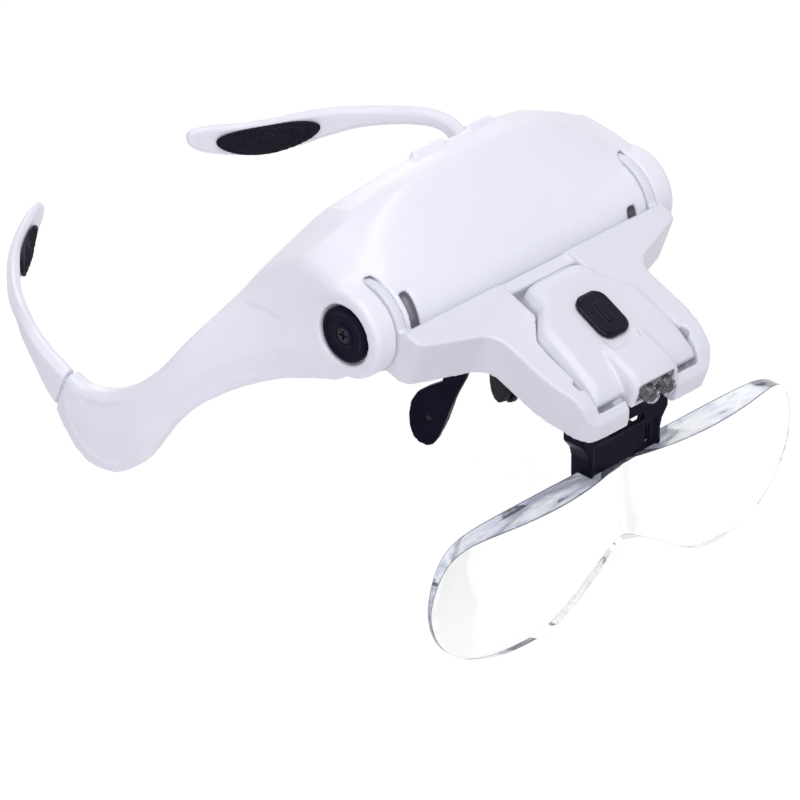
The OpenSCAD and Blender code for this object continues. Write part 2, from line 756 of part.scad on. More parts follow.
module lamp_screws() {
    color("silver") seat() on_arm() both_sides() translate([lamp_boss[0], lamp_boss[1], 0]) {
        translate([0, 0, lamp_low + 0.05])
            cylinder(r = 1.95, h = 0.5, $fn = 24);
        translate([0, 0, lamp_low + 0.5])
            cylinder(r = 0.95, h = 6.5, $fn = 24);
    }
}

module lamp_hinge_pins() {
    color("silver") seat() on_arm() both_sides()
        rod(pin_r, lamp_w - 3.8, lamp_w + 3, -lamp_hinge_u, lamp_hinge_w, 32);
}

module switch_slider() {
    color(black) seat() on_lamp_top() {
        translate([0, 0, gap])
            linear_extrude(1.1)
                rounded(slider_w, slider_l, 3.6);
        translate([0, 0, gap + 1])
            linear_extrude(0.8)
                rounded(slider_w - 1.4, slider_l - 1.4, 3);
        box([-1.3, -3.4, gap + 1.5], [1.3, 3.4, gap + 2.4]);
        box([-1.2, -1.5, -3.4], [1.2, 1.5, gap + 0.5]);
    }
}

board_w = 5.3;
board_t = 1.2;
board_front = 50.5;
board_rear = 27;
board_half = 10.5;

module switch_body() {
    color([0.25, 0.25, 0.28]) seat() on_arm() difference() {
        box([-3.6, -44, board_w + board_t + 0.05], [3.6, -32, 9]);
        box([-1.7, -43.5, 8], [1.7, -33.5, 12]);
    }
}

module circuit_board() {
    color("darkgreen") seat() on_arm()
        box([-board_half, -board_front, board_w], [board_half, -board_rear, board_w + board_t]);
}

module leds() {
    color("white") seat() on_arm() both_sides() translate([led_pitch / 2, 0, led_w]) {
        rotate([90, 0, 0]) {
            translate([0, 0, window_u - 1.6])
                cylinder(r = led_d / 2 + 0.35, h = 0.9, $fn = 48);
            translate([0, 0, window_u - 1.6])
                cylinder(r = led_d / 2, h = led_out + 1.6, $fn = 48);
        }
        translate([0, -window_u - led_out, 0])
            intersection() {
                sphere(r = led_d / 2, $fn = 48);
                box([-5, -5, -5], [5, 0.2, 5]);
            }
        for (x = [-1.27, 1.27])
            box([x - 0.25, -window_u + 1.5, board_w + board_t / 2 - led_w - 0.25],
                [x + 0.25, -board_front - 0.3, board_w + board_t / 2 - led_w + 0.25]);
    }
}

module led_window() {
    color([0.6, 0.6, 0.62, 0.6]) seat() on_arm() difference() {
        box([-window_half + 0.1, -window_u - 0.7, window_low + 0.1],
            [window_half - 0.1, -window_u + 0.5, window_top - 0.1]);
        both_sides()
            translate([led_pitch / 2, -window_u + 3, led_w])
                rotate([90, 0, 0])
                    cylinder(r = led_d / 2 + 0.05, h = 10, $fn = 48);
    }
}

// The lens hangs from its clip. Its flat back and top edge are set by these places.
lens_back = -43.7;
lens_top = -43.4;
lens_z = lens_top - 0.3 * lens_h;
tab_half = 6.5;
tab_t = 3;
tab_top = -38.4;
clip_front = -49.2;
clip_back = -41.6;
clip_low = -47.2;
clip_top = -23.4;
clip_wall = 1.5;
clip_rim = 1.4;

// Outline of the clip seen from the front, drawn in by a margin
module clip_outline(m) {
    w = clip_w / 2 - m;
    polygon([[-w, clip_low], [w, clip_low], [w, -38], [w + 0.7, -35.5], [w + 3, -32.6], [w + 3, -29],
        [w - 2, clip_top + m], [-w + 2, clip_top + m], [-w - 3, -29], [-w - 3, -32.6], [-w - 0.7, -35.5],
        [-w, -38]]);
}

// Turns a drawing in the X and Z directions into a slab between two places along Y
module slab(y0, y1) {
    translate([0, y1, 0])
        rotate([90, 0, 0])
            linear_extrude(y1 - y0)
                children();
}

module lens_clip() {
    color(black) seat() difference() {
        union() {
            difference() {
                slab(clip_front, clip_back) clip_outline(0);
                slab(clip_front + clip_wall, clip_back + 1) difference() {
                    clip_outline(clip_wall);
                    translate([-tab_half - 2, clip_low])
                        square([2 * tab_half + 4, tab_top + 2 - clip_low]);
                    translate([-clip_w, clip_top - 2.2])
                        square([2 * clip_w, 10]);
                }
                slab(clip_front - 1, clip_front + 0.6) {
                    translate([-clip_w / 2 + clip_rim, tab_top - 5.4])
                        square([clip_w - 2 * clip_rim, 9.6]);
                }
            }
            box([-tongue_half, tongue_y - tongue_t / 2, clip_top - 2],
                [tongue_half, tongue_y + tongue_t / 2, tongue_top]);
        }
        box([-tab_half - seat_gap, lens_back - tab_t - seat_gap, clip_low - 2],
            [tab_half + seat_gap, lens_back + seat_gap, tab_top + seat_gap]);
        box([-clip_w, lens_back - lens_t - 2, clip_low - 2], [clip_w, lens_back + seat_gap, lens_top + seat_gap]);
        box([-7, clip_front - 1, tab_top + 5.4], [7, clip_front + 2.4, tab_top + 7.3]);
        box([clip_w / 2 - 5.5, clip_front - 1, tab_top - 3], [clip_w / 2 - 3.9, clip_front + 2.4, tab_top + 2.6]);
        translate([2.8 - clip_w / 2, clip_front - 1, tab_top - 3.3])
            rotate([-90, 0, 0])
                cylinder(r = 0.4, h = 4, $fn = 24);
    }
}

lens_half_outline = [[0, 0], [0.2, 0], [0.38, 0], [0.54, 0], [0.67, -0.003], [0.77, -0.012], [0.845, -0.034],
    [0.903, -0.08], [0.945, -0.15], [0.974, -0.245], [0.992, -0.35], [1, -0.46], [0.992, -0.58],
    [0.965, -0.7], [0.92, -0.81], [0.85, -0.905], [0.76, -0.967], [0.65, -0.997], [0.53, -0.992],
    [0.42, -0.965]];
lens_arch = [[23.5, -11.5], [17.5, -8], [11.5, -4], [5.5, -0.8], [0, 0]];

module lens_outline() {
    half = smooth(concat([for (p = lens_half_outline) [p[0] * lens_half, lens_top + p[1] * lens_h]],
        [for (p = lens_arch) [p[0], lens_top - bridge_h + p[1]]]), 3);
    polygon(concat(half, [for (i = [len(half) - 2 : -1 : 1]) [-half[i][0], half[i][1]]]));
}

module lens() {
    color([0.85, 0.92, 0.97, 0.4]) seat() {
        intersection() {
            slab(lens_back - lens_t - 1, lens_back) lens_outline();
            union() {
                box([-lens_half - 1, lens_back - 1.3, lens_top - lens_h - 1], [lens_half + 1, lens_back, lens_top]);
                for (side = [-1, 1])
                    translate([side * lens_centres / 2, lens_back - lens_t + lens_r, lens_z])
                        sphere(r = lens_r, $fn = 128);
            }
        }
        box([-tab_half, lens_back - tab_t, lens_top - 1], [tab_half, lens_back, tab_top]);
    }
}

// The temple arm's middle line with its slope, height and thickness
temple_stations = [
    [[82.05, 84.3, -39.5], [0, -0.383, 0.924], 13.6, 5],
    [[82.5, 87.6, -36.4], [0, -0.48, 0.877], 12, 4.9],
    [[83, 91.8, -31.9], [0, -0.56, 0.83], 8.8, 4.6],
    [[82.8, 96.8, -27.2], [0, -0.4, 0.917], 6.8, 4.2],
    [[80.4, 102, -25], [0, 0, 1], 5.9, 4],
    [[76.8, 108, -24.8], [0, 0, 1], 6, 3.9],
    [[72.4, 114, -25.4], [0, 0, 1], 6.2, 3.8],
    [[67.3, 120, -26.2], [0, 0, 1], 7.2, 3.7],
    [[61.7, 126, -27.8], [0, 0, 1], 9.2, 3.5],
    [[55.7, 132, -30.1], [0, 0, 1], 10.8, 3.3],
    [[49.3, 137.8, -32], [0, 0, 1], 11.2, 3.2],
    [[42, 143.4, -32.4], [0, 0, 1], 10.4, 3],
    [[34.6, 147.6, -31.1], [0, 0, 1], 9, 2.8],
    [[30.4, 149.4, -30], [0, 0, 1], 6.4, 2.6],
    [[28.6, 150.1, -29.4], [0, 0, 1], 3, 2]];
temple_curve = smooth(temple_stations, 4);

function temple_way(i) = unit(temple_curve[min(i + 1, len(temple_curve) - 1)][0]
    - temple_curve[max(i - 1, 0)][0]);
// A ring with rounded edges: height up and n outwards from the head
function temple_ring(c, up, n, height, t) = let (e = min(t * 0.4, height * 0.3), half = t / 2, h = height / 2)
    [for (p = [[-h, -half + e], [-h + e, -half], [h - e, -half], [h, -half + e], [h, half - e],
        [h - e, half], [-h + e, half], [-h, half - e]]) c + up * p[0] + n * p[1]];

module temple_arm(side) {
    color(white) seat() scale([side, 1, 1]) {
        loft([for (i = [0 : len(temple_curve) - 1]) let (s = temple_curve[i])
            temple_ring(s[0], unit(s[1]), unit(cross(temple_way(i), s[1])), s[2], s[3])]);
        at_socket()
            box([-plug_t / 2, -plug_l, -plug_h / 2], [plug_t / 2, 3, plug_h / 2]);
    }
}

module temple_arm_right() temple_arm(-1);
module temple_arm_left() temple_arm(1);

pad_first = 33;
pad_last = 47;
pad_base = 1;

// An oval strip that follows the inner face of the temple arm
module pad_layer(share, inner, outer) {
    middle = (pad_first + pad_last) / 2;
    loft([for (i = [0 : 20]) let (t = sin(lerp(-84, 84, i / 20)),
        place = middle + t * share * (pad_last - pad_first) / 2, k = floor(place), f = place - k,
        s = lerp(temple_curve[k], temple_curve[k + 1], f), n = unit(cross(temple_way(k), s[1])),
        height = share * pad_h * sqrt(1 - t * t))
        temple_ring(s[0] - n * (s[3] / 2 + seat_gap + (inner + outer) / 2), s[1], n, height,
            outer - inner)]);
}

module temple_pad(side) {
    color(black) seat() scale([side, 1, 1]) {
        pad_layer(pad_l / 29, 0, pad_base);
        pad_layer(pad_l / 29 * 0.72, pad_base - 0.1, pad_base + 0.5);
        pad_layer(pad_l / 29 * 0.42, pad_base + 0.4, pad_base + 1);
    }
}

module temple_pad_right() temple_pad(-1);
module temple_pad_left() temple_pad(1);

frame_shell();
forehead_cover();
battery_door();
door_hinge_pin();
battery_tray();
battery_cells();
battery_contacts();
cover_screws();
nose_bracket();
nose_pad_right();
nose_pad_left();
nose_pad_pins();
lens_arm();
pivot_cap_right();
pivot_cap_left();
pivot_screws();
lamp_cover();
lamp_base();
lamp_hinge_pins();
switch_slider();
switch_body();
circuit_board();
leds();
led_window();
lamp_screws();
lens_clip();
lens();
temple_arm_right();
temple_arm_left();
temple_pad_right();
temple_pad_left();
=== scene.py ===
"""Lighted head-worn magnifier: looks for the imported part.

Metres, in the part's own frame: the front looks along -Y, up is +Z, the wearer's right is at -X.
"""

import json
import math

import bmesh
import bpy
from mathutils import Matrix, Vector

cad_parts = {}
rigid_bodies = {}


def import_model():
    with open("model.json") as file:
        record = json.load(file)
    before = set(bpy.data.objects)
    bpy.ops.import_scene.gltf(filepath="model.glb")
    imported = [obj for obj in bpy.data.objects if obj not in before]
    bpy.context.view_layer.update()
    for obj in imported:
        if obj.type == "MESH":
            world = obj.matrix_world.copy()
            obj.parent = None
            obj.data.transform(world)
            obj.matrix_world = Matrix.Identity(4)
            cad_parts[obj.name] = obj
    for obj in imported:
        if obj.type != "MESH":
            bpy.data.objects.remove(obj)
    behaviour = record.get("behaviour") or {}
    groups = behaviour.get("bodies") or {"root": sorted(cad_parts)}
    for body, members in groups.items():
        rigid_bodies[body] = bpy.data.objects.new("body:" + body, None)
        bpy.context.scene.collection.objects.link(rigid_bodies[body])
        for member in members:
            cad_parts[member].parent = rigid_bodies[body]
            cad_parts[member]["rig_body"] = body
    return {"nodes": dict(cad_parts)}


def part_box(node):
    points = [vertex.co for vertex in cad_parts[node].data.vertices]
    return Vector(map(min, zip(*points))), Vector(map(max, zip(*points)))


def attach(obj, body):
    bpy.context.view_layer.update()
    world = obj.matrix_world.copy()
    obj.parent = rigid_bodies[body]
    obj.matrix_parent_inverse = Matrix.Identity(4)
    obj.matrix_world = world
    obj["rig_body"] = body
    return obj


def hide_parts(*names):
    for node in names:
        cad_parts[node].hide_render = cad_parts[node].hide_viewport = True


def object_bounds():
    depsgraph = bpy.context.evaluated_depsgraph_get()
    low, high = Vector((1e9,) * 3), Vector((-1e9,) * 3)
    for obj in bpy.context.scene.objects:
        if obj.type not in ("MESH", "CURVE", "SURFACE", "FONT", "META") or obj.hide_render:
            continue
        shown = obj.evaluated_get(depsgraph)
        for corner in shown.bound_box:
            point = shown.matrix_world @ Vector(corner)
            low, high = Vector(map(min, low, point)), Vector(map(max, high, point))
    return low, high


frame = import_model()
nodes = frame["nodes"]
cad_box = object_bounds()

MM = 0.001


# Camera

# Where the photograph was taken from and the camera's own directions there
CAMERA_PLACE = Vector((-1.365191, -1.332659, 1.039661))
CAMERA_RIGHT = Vector((0.70167, -0.712474, -0.006329))
CAMERA_UP = Vector((0.360097, 0.346944, 0.866002))
CAMERA_BACK = Vector((-0.614808, -0.609927, 0.5))
# The lens and the sensor's width in millimetres, and the nearest and farthest that the camera sees
CAMERA_LENS = 360.09
CAMERA_SENSOR = 36
CAMERA_CLIP = (0.1, 30)


def make_camera():
    camera = bpy.data.objects.new("camera", bpy.data.cameras.new("camera"))
    bpy.context.scene.collection.objects.link(camera)
    turn = Matrix((CAMERA_RIGHT, CAMERA_UP, CAMERA_BACK)).transposed().to_4x4()
    camera.matrix_world = Matrix.Translation(CAMERA_PLACE) @ turn
    camera.data.lens = CAMERA_LENS
    camera.data.sensor_width = CAMERA_SENSOR
    camera.data.clip_start, camera.data.clip_end = CAMERA_CLIP
    bpy.context.scene.camera = camera


make_camera()
bpy.context.scene.view_settings.view_transform = "Standard"


# Shading

class Value:
    """A number that changes over a surface, with Python's own operators."""

    def __init__(self, shading, socket):
        self.shading = shading
        self.socket = socket

    def join(self, operation, a, b):
        maths = self.shading.node("ShaderNodeMath", {"operation": operation}, {0: a, 1: b})
        return Value(self.shading, maths.outputs[0])

    def __add__(self, other):
        return self.join("ADD", self, other)

    def __sub__(self, other):
        return self.join("SUBTRACT", self, other)

    def __rsub__(self, other):
        return self.join("SUBTRACT", other, self)

    def __mul__(self, other):
        return self.join("MULTIPLY", self, other)

    def __gt__(self, other):
        return self.join("GREATER_THAN", self, other)

    __radd__ = __add__
    __rmul__ = __mul__


class Shading:
    """The nodes of a material or of the world."""

    def __init__(self, owner):
        owner.use_nodes = True
        self.tree = owner.node_tree

    def node(self, kind, settings, values):
        """A new node: its settings are set first, then the value or the link of each socket."""
        made = self.tree.nodes.new(kind)
        for name, value in settings.items():
            if name == "stops":
                self.set_stops(made.color_ramp, value)
            else:
                setattr(made, name, value)
        for name, value in values.items():
            if isinstance(value, Value):
                value = value.socket
            if isinstance(value, bpy.types.NodeSocket):
                self.tree.links.new(value, made.inputs[name])
            else:
                made.inputs[name].default_value = value
        return made

    @staticmethod
    def set_stops(ramp, stops):
        while len(ramp.elements) < len(stops):
            ramp.elements.new(0.5)
        for element, (position, colour) in zip(ramp.elements, stops):
            element.position = position
            element.color = colour

    def blended(self, share, first, second, output):
        """Sends a blend of two shaders to the output, all of the second where the share is one."""
        values = {0: share, 1: first.outputs[0], 2: second.outputs[0]}
        mix = self.node("ShaderNodeMixShader", {}, values)
        self.tree.links.new(mix.outputs[0], self.tree.nodes[output].inputs["Surface"])


# A Mix node's sockets for colours, by their number
MIX_LOW = 6
MIX_HIGH = 7
MIX_RESULT = 2
# The samples with which a piece's sharp edges are rounded in its relief
BEVEL_SAMPLES = 6


class Finish(Shading):
    """A material on one Principled shader, built from the surface's own coordinates."""

    def __init__(self, name, **constants):
        self.material = bpy.data.materials.new(name)
        super().__init__(self.material)
        self.shader = self.tree.nodes["Principled BSDF"]
        coordinates = self.node("ShaderNodeTexCoord", {}, {})
        self.place = coordinates.outputs["Object"]
        self.unwrapped = coordinates.outputs["UV"]
        for socket, value in constants.items():
            self.shader.inputs[socket.replace("_", " ")].default_value = value

    def noise(self, scale, detail, stretch=None):
        place = self.place
        if stretch:
            place = self.node("ShaderNodeMapping", {}, {"Vector": place, "Scale": stretch}).outputs[0]
        values = {"Vector": place, "Scale": scale, "Detail": detail}
        return Value(self, self.node("ShaderNodeTexNoise", {}, values).outputs[0])

    def along(self, axis, place=None):
        """The X, Y or Z of a point, in metres in the frame unless another place is given."""
        split = self.node("ShaderNodeSeparateXYZ", {}, {"Vector": place or self.place})
        return Value(self, split.outputs[axis])

    def mixed(self, share, low, high):
        values = {"Factor": share, MIX_LOW: low, MIX_HIGH: high}
        return self.node("ShaderNodeMix", {"data_type": "RGBA"}, values).outputs[MIX_RESULT]

    def colour(self, socket):
        self.tree.links.new(socket, self.shader.inputs["Base Color"])

    def roughness(self, value, low, high):
        """Spreads a value between nought and one over the roughness from low to high."""
        spread = value * (high - low) + low
        self.tree.links.new(spread.socket, self.shader.inputs["Roughness"])

    def relief(self, height, distance, soft=0.0):
        """Raises the surface by up to the distance, with its sharp edges rounded to the soft radius."""
        values = {"Height": height, "Distance": distance, "Strength": 1.0}
        if soft:
            edges = self.node("ShaderNodeBevel", {"samples": BEVEL_SAMPLES}, {"Radius": soft})
            values["Normal"] = edges.outputs[0]
        bump = self.node("ShaderNodeBump", {}, values)
        self.tree.links.new(bump.outputs[0], self.shader.inputs["Normal"])


# Finishes

# The nose's axis in Y and Z, the span of each groove along X, and the radius inside which both are painted
# with shade
NOSE_AXIS = (-14.8 * MM, -12.0 * MM)
GROOVES = ((-45.6 * MM, -41.2 * MM), (38.8 * MM, 43.2 * MM))
GROOVE_RADIUS = 12.5 * MM
# The grey painted into the grooves as their shade
GROOVE_PAINTED_SHADE = (0.25, 0.24, 0.28, 1)

# Where the golden end of the cells starts, along X
CELL_BAND = 7 * MM

# How much noise it takes to make a track on the circuit board
TRACK_START = 0.52

# How much lighter the haze in a clear plastic is than its tint
HAZE_LIFT = 1.02

# The painted reflections along the lens's polished rim: streaks from dark to light and back
EDGE_PAINTED_REFLECTION_STOPS = [
    (0.33, (0.06, 0.06, 0.08, 1)), (0.36, (0.58, 0.62, 0.74, 1)), (0.46, (0.78, 0.82, 0.92, 1)),
    (0.54, (0.97, 0.98, 1.0, 1)), (0.62, (0.66, 0.70, 0.82, 1)),
]
# The rim's painted shade at its two borders: its grey, and the square of how far from the rim's middle it
# starts, as a share of its thickness
BORDER_PAINTED_SHADE = (0.16, 0.17, 0.21, 1)
BORDER_START = 0.2


def white_plastic(name, low, high, shade_grooves=False):
    """The mouldings' plastic. On the shell, the front of the nose's two grooves is painted grey inside, as
    shade.
    """
    finish = Finish(name, IOR=1.5, Specular_IOR_Level=0.4, Coat_Weight=0.12, Coat_Roughness=0.08)
    white = finish.mixed(finish.noise(scale=28, detail=3), low, high)
    if shade_grooves:
        # Painted shade: inside the radius and in front of the nose's axis, each groove turns grey
        x, y, z = (finish.along(axis) for axis in "XYZ")
        y = y - NOSE_AXIS[0]
        z = z - NOSE_AXIS[1]
        deep = 1 - (y * y + z * z > GROOVE_RADIUS * GROOVE_RADIUS)
        front = 1 - (y > 0)
        inside = sum((x > start) * (1 - (x > end)) for start, end in GROOVES)
        white = finish.mixed(deep * inside * front, white, GROOVE_PAINTED_SHADE)
    finish.colour(white)
    finish.roughness(finish.noise(scale=220, detail=3), low=0.26, high=0.40)
    finish.relief(finish.noise(scale=650, detail=1), distance=0.004 * MM, soft=0.3 * MM)
    return finish.material


def black_plastic():
    finish = Finish("black_plastic", IOR=1.5, Specular_IOR_Level=0.04)
    tone = finish.noise(scale=60, detail=3)
    finish.colour(finish.mixed(tone, (0.004, 0.004, 0.014, 1), (0.007, 0.007, 0.021, 1)))
    finish.roughness(finish.noise(scale=300, detail=3), low=0.24, high=0.40)
    finish.relief(finish.noise(scale=900, detail=1), distance=0.006 * MM, soft=0.25 * MM)
    return finish.material


def gloss_plastic():
    """The switch slider's plastic, shinier than the rest."""
    finish = Finish("gloss_plastic", IOR=1.5, Specular_IOR_Level=0.14, Coat_Weight=0.06, Coat_Roughness=0.03)
    tone = finish.noise(scale=60, detail=3)
    finish.colour(finish.mixed(tone, (0.002, 0.002, 0.009, 1), (0.005, 0.005, 0.016, 1)))
    finish.roughness(finish.noise(scale=300, detail=3), low=0.06, high=0.12)
    finish.relief(finish.noise(scale=900, detail=1), distance=0.004 * MM, soft=0.2 * MM)
    return finish.material


def black_rubber():
    finish = Finish("black_rubber", IOR=1.5, Specular_IOR_Level=0.12)
    grain = finish.noise(scale=2200, detail=3)
    finish.colour(finish.mixed(grain, (0.006, 0.006, 0.013, 1), (0.012, 0.012, 0.022, 1)))
    finish.roughness(grain, low=0.5, high=0.75)
    finish.relief(grain, distance=0.02 * MM, soft=0.2 * MM)
    return finish.material


def dark_plastic():
    finish = Finish("dark_plastic", IOR=1.5)
    grain = finish.noise(scale=1600, detail=2)
    finish.colour(finish.mixed(grain, (0.03, 0.03, 0.034, 1), (0.055, 0.055, 0.06, 1)))
    finish.roughness(grain, low=0.5, high=0.7)
    finish.relief(grain, distance=0.02 * MM, soft=0.2 * MM)
    return finish.material


def brushed(name, low, high):
    """A metal with fine streaks."""
    finish = Finish(name, Metallic=1.0)
    streaks = finish.noise(scale=400, detail=3, stretch=(8, 1, 1))
    finish.colour(finish.mixed(streaks, low, high))
    finish.roughness(streaks, low=0.22, high=0.42)
    finish.relief(streaks, distance=0.006 * MM, soft=0.12 * MM)
    return finish.material


def cell_wrap():
    """The cells' wrap, dark with a golden end."""
    finish = Finish("cell_wrap", IOR=1.5, Coat_Weight=0.5, Coat_Roughness=0.1)
    golden = finish.along("X") > CELL_BAND
    dark = finish.mixed(finish.noise(scale=90, detail=2), (0.02, 0.02, 0.022, 1), (0.035, 0.035, 0.04, 1))
    finish.colour(finish.mixed(golden, dark, (0.55, 0.33, 0.12, 1)))
    finish.roughness(finish.noise(scale=500, detail=2), low=0.25, high=0.35)
    finish.relief(finish.noise(scale=700, detail=1), distance=0.01 * MM, soft=0.2 * MM)
    return finish.material


def circuit_green():
    finish = Finish("circuit_green", IOR=1.5)
    track = finish.noise(scale=260, detail=0, stretch=(1, 6, 1)) > TRACK_START
    finish.colour(finish.mixed(track, (0.01, 0.10, 0.04, 1), (0.03, 0.22, 0.09, 1)))
    finish.roughness(finish.noise(scale=500, detail=2), low=0.3, high=0.4)
    finish.relief(track, distance=0.03 * MM)
    return finish.material


def clear(name, tint, roughness, ior):
    """A clear plastic, a little lighter where it is hazy."""
    finish = Finish(name, IOR=ior, Transmission_Weight=1.0)
    haze = finish.noise(scale=40, detail=2)
    finish.colour(finish.mixed(haze, tint, [min(1, part * HAZE_LIFT) for part in tint]))
    finish.roughness(finish.noise(scale=150, detail=2), *roughness)
    return finish.material


def polished_edge_painted_reflections():
    """The lens's flame-polished rim: pale blue-grey with painted reflections streaked along it, and painted
    shade at its two borders.
    """
    finish = Finish("polished_edge_painted_reflections", IOR=1.49, Transmission_Weight=0.6)
    wave = finish.noise(scale=60, detail=4, stretch=(1, 4, 6))
    # Painted reflections: dark and light streaks picked from the stops
    ramp = finish.node("ShaderNodeValToRGB", {"stops": EDGE_PAINTED_REFLECTION_STOPS}, {"Fac": wave})
    # Painted shade along the rim's two borders
    across = finish.along("X", finish.unwrapped) - 0.5
    finish.colour(finish.mixed(across * across > BORDER_START, ramp.outputs[0], BORDER_PAINTED_SHADE))
    finish.roughness(wave, low=0.02, high=0.12)
    finish.relief(wave, distance=0.1 * MM)
    return finish.material


# The darker and the lighter tone of the frame's white, and of a darker copy of it on the lens arm and the
# lamp, painted shade that dims them
WHITE_TONES = ((0.86, 0.86, 0.92, 1), (0.90, 0.90, 0.955, 1))
ARM_SHADED_TONES = ((0.76, 0.76, 0.82, 1), (0.80, 0.80, 0.855, 1))

WHITE = white_plastic("white_plastic", *WHITE_TONES)
SHELL = white_plastic("shell_plastic_painted_groove_shade", *WHITE_TONES, shade_grooves=True)
# The lens arm's and the lamp's white, darkened as painted shade
ARM_SHADED_WHITE = white_plastic("arm_white_plastic_painted_shade", *ARM_SHADED_TONES)
BLACK = black_plastic()
GLOSS = gloss_plastic()
RUBBER = black_rubber()
DARK = dark_plastic()
STEEL = brushed("steel", (0.55, 0.55, 0.57, 1), (0.74, 0.74, 0.76, 1))
DARK_STEEL = brushed("blackened_steel", (0.012, 0.012, 0.016, 1), (0.04, 0.04, 0.05, 1))
GREY_STEEL = brushed("dull_steel", (0.10, 0.10, 0.115, 1), (0.20, 0.20, 0.22, 1))
CELL = cell_wrap()
BOARD = circuit_green()
ACRYLIC = clear("clear_acrylic", (0.995, 0.997, 0.999, 1), roughness=(0.0003, 0.0013), ior=1.38)
EDGE = polished_edge_painted_reflections()
RESIN = clear("clear_resin", (0.58, 0.57, 0.62, 1), roughness=(0.021, 0.091), ior=1.5)
SMOKE = clear("smoke_plastic", (0.52, 0.51, 0.56, 1), roughness=(0.06, 0.26), ior=1.5)


# Pieces

# Points nearer than this are one, and edges shorter than this are taken out
SAME_POINT = 0.001 * MM
NO_EDGE = 0.002 * MM
# The angle in degrees past which an edge stays crisp, and the same for the lens
CRISP_ANGLE = 32
LENS_ANGLE = 40
# How far each smoothing pass moves a point towards its neighbours' middle
SMOOTH_SHARE = 0.5


def registered(mesh, node, material):
    """A piece that stands for a node of the part and rides where the node does."""
    piece = bpy.data.objects.new(node + "_look", mesh)
    bpy.context.scene.collection.objects.link(piece)
    mesh.materials.clear()
    mesh.materials.append(material)
    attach(piece, nodes[node]["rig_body"])
    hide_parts(node)
    return piece


def merged(node):
    """The node's mesh as one closed surface, without the normals that came with its triangles."""
    form = bmesh.new()
    form.from_mesh(nodes[node].data)
    bmesh.ops.remove_doubles(form, verts=form.verts, dist=SAME_POINT)
    bmesh.ops.dissolve_degenerate(form, dist=NO_EDGE, edges=form.edges)
    mesh = bpy.data.meshes.new(node + "_look")
    form.to_mesh(mesh)
    form.free()
    normals = mesh.attributes.get("custom_normal")
    if normals:
        mesh.attributes.remove(normals)
    return mesh


def dressed(node, material, angle=CRISP_ANGLE):
    """A smooth shaded copy with crisp edges where faces meet at more than the angle."""
    mesh = merged(node)
    mesh.shade_smooth()
    mesh.set_sharp_from_angle(angle=math.radians(angle))
    return registered(mesh, node, material)


def moulded(node, material, cell, passes):
    """A copy on an even mesh of the given cell in millimetres, smoothed so that its edges are round."""
    base = merged(node)
    if node == "frame_shell":
        thicken_sockets(base)
    helper = bpy.data.objects.new(node + "_form", base)
    bpy.context.scene.collection.objects.link(helper)
    even = helper.modifiers.new("even", "REMESH")
    even.mode = "VOXEL"
    even.voxel_size = cell * MM
    even.use_smooth_shade = True
    soft = helper.modifiers.new("soft", "SMOOTH")
    soft.factor = SMOOTH_SHARE
    soft.iterations = passes
    final = helper.evaluated_get(bpy.context.evaluated_depsgraph_get())
    mesh = bpy.data.meshes.new_from_object(final)
    mesh.name = node + "_look"
    bpy.data.objects.remove(helper)
    return registered(mesh, node, material)


def smooth_step(low, high, value):
    """Nought up to low, one from high, and a smooth rise between them."""
    share = min(max((value - low) / (high - low), 0), 1)
    return share * share * (3 - 2 * share)


def distance_inside(y, z, outline):
    """How far a point lies inside a closed outline in Y and Z, less than nought outside."""
    nearest = math.inf
    inside = False
    for (y0, z0), (y1, z1) in zip(outline, outline[1:] + outline[:1]):
        dy, dz = y1 - y0, z1 - z0
        share = min(max(((y - y0) * dy + (z - z0) * dz) / (dy * dy + dz * dz), 0), 1)
        nearest = min(nearest, math.hypot(y - y0 - share * dy, z - z0 - share * dz))
        if (z0 > z) != (z1 > z) and y < y0 + (z - z0) / dz * dy:
            inside = not inside
    return nearest if inside else -nearest


# The mouth of the socket on the wearer's left in millimetres, and its turn. The other socket mirrors it
SOCKET_MOUTH = Vector((82, 68.6, -51.8))
SOCKET_TURN = Matrix.Rotation(math.radians(25), 3, "X") @ Matrix.Rotation(math.radians(-8), 3, "Z")
# The arm's inner skin at a socket, along the socket's own axes: its span in X, its height above and
# below in Z, and the Y where its move starts, is full, and begins to fade towards the mouth
SKIN_SPAN = (-7, -1.7)
SKIN_HEIGHT = 20
SKIN_START = -24
SKIN_FULL = -12
SKIN_FADE = -3
# How far the skin moves in millimetres, and the share of the move that is left at the mouth
SKIN_MOVE = 0.45
MOUTH_SHARE = 0.4


def thicken_sockets(mesh):
    """Moves the side arms' inner skin inwards at the sockets, where it is thin for the even mesh."""
    for vert in mesh.vertices:
        x, y, z = vert.co / MM
        place = SOCKET_TURN.transposed() @ (Vector((abs(x), y, z)) - SOCKET_MOUTH)
        in_span = SKIN_SPAN[0] < place.x < SKIN_SPAN[1]
        if in_span and abs(place.z) < SKIN_HEIGHT and place.y > SKIN_START:
            fade = 1 - (1 - MOUTH_SHARE) * smooth_step(SKIN_FADE, 0, place.y)
            share = smooth_step(SKIN_START, SKIN_FULL, place.y) * fade
            vert.co.x -= math.copysign(share * SKIN_MOVE * MM, x)


# The panel pressed into the outer face of each side arm, as points in Y and Z in millimetres
PANEL = [
    (6, -14), (13, -12.5), (19.5, -13), (27, -21), (34.6, -30), (42, -40), (49, -48.5), (55, -51.5),
    (62, -50.5), (66.5, -52.5), (67, -58), (65, -62.5), (61, -67.5), (56, -69.8), (50, -69.3), (45, -65),
    (40, -58), (34.5, -50), (28.5, -43), (20, -36.3), (11, -31.8), (4, -28.5), (3, -20),
]
# Its depth, the width of its soft edge, and the Y where it starts and is full depth
PANEL_DEPTH = 0.45
PANEL_EDGE = 0.9
PANEL_START = 2
PANEL_FULL = 14
# How far out the side arms lie, and how much a point of the outer face has to face outwards
ARM_INSIDE = 57
ARM_FACING = 0.3


